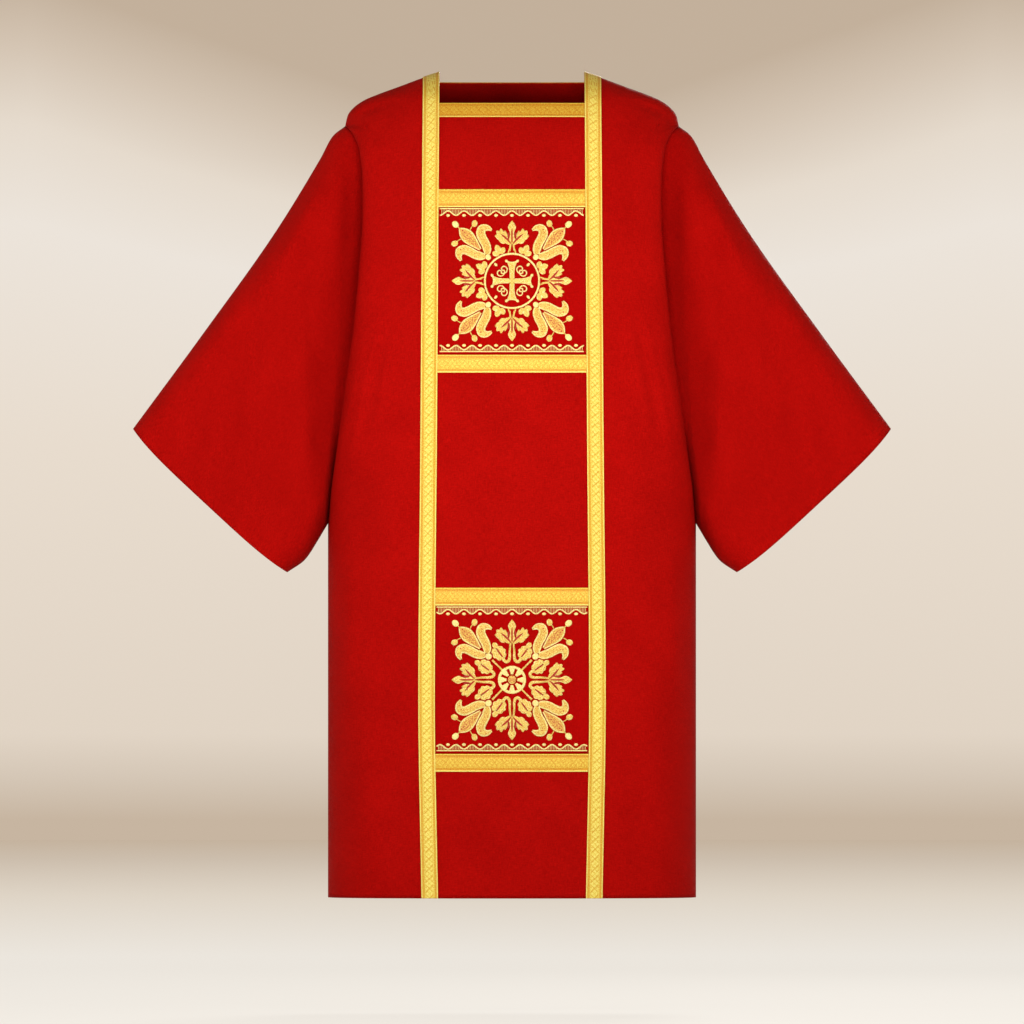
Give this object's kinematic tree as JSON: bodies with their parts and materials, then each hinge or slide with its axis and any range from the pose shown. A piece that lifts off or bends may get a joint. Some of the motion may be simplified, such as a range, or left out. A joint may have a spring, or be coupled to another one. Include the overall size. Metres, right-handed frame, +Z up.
{
  "type": "dalmatic",
  "caption": "Red dalmatic with wide sleeves, square neck, gold braid and two embroidered front squares, hollow and open as worn.",
  "frame": {"origin": "midway between the two neck points, at the height of the shoulder line there, where the wearer's shoulders carry the garment", "axes": "+Z up, the front faces -Y, the wearer's left is +X"},
  "size_m": [1.1938, 0.306, 1.3012],
  "materials": {
    "red_cloth": "matt plain-woven red cloth with a soft sheen",
    "red_square": "red cloth ground for gold embroidery",
    "gold_braid": "woven gold braid with a satin shine"
  },
  "bodies": {
    "root": {"front_panel": "red_cloth", "back_panel": "red_cloth", "sleeve_left": "red_cloth", "sleeve_right": "red_cloth", "upright_braid_left": "gold_braid", "upright_braid_right": "gold_braid", "neck_braid_front": "gold_braid", "neck_braid_back": "gold_braid", "cross_braid_1": "gold_braid", "cross_braid_2": "gold_braid", "cross_braid_3": "gold_braid", "cross_braid_4": "gold_braid", "medallion_square_upper": "red_square", "medallion_square_lower": "red_square"}
  },
  "joints": []
}
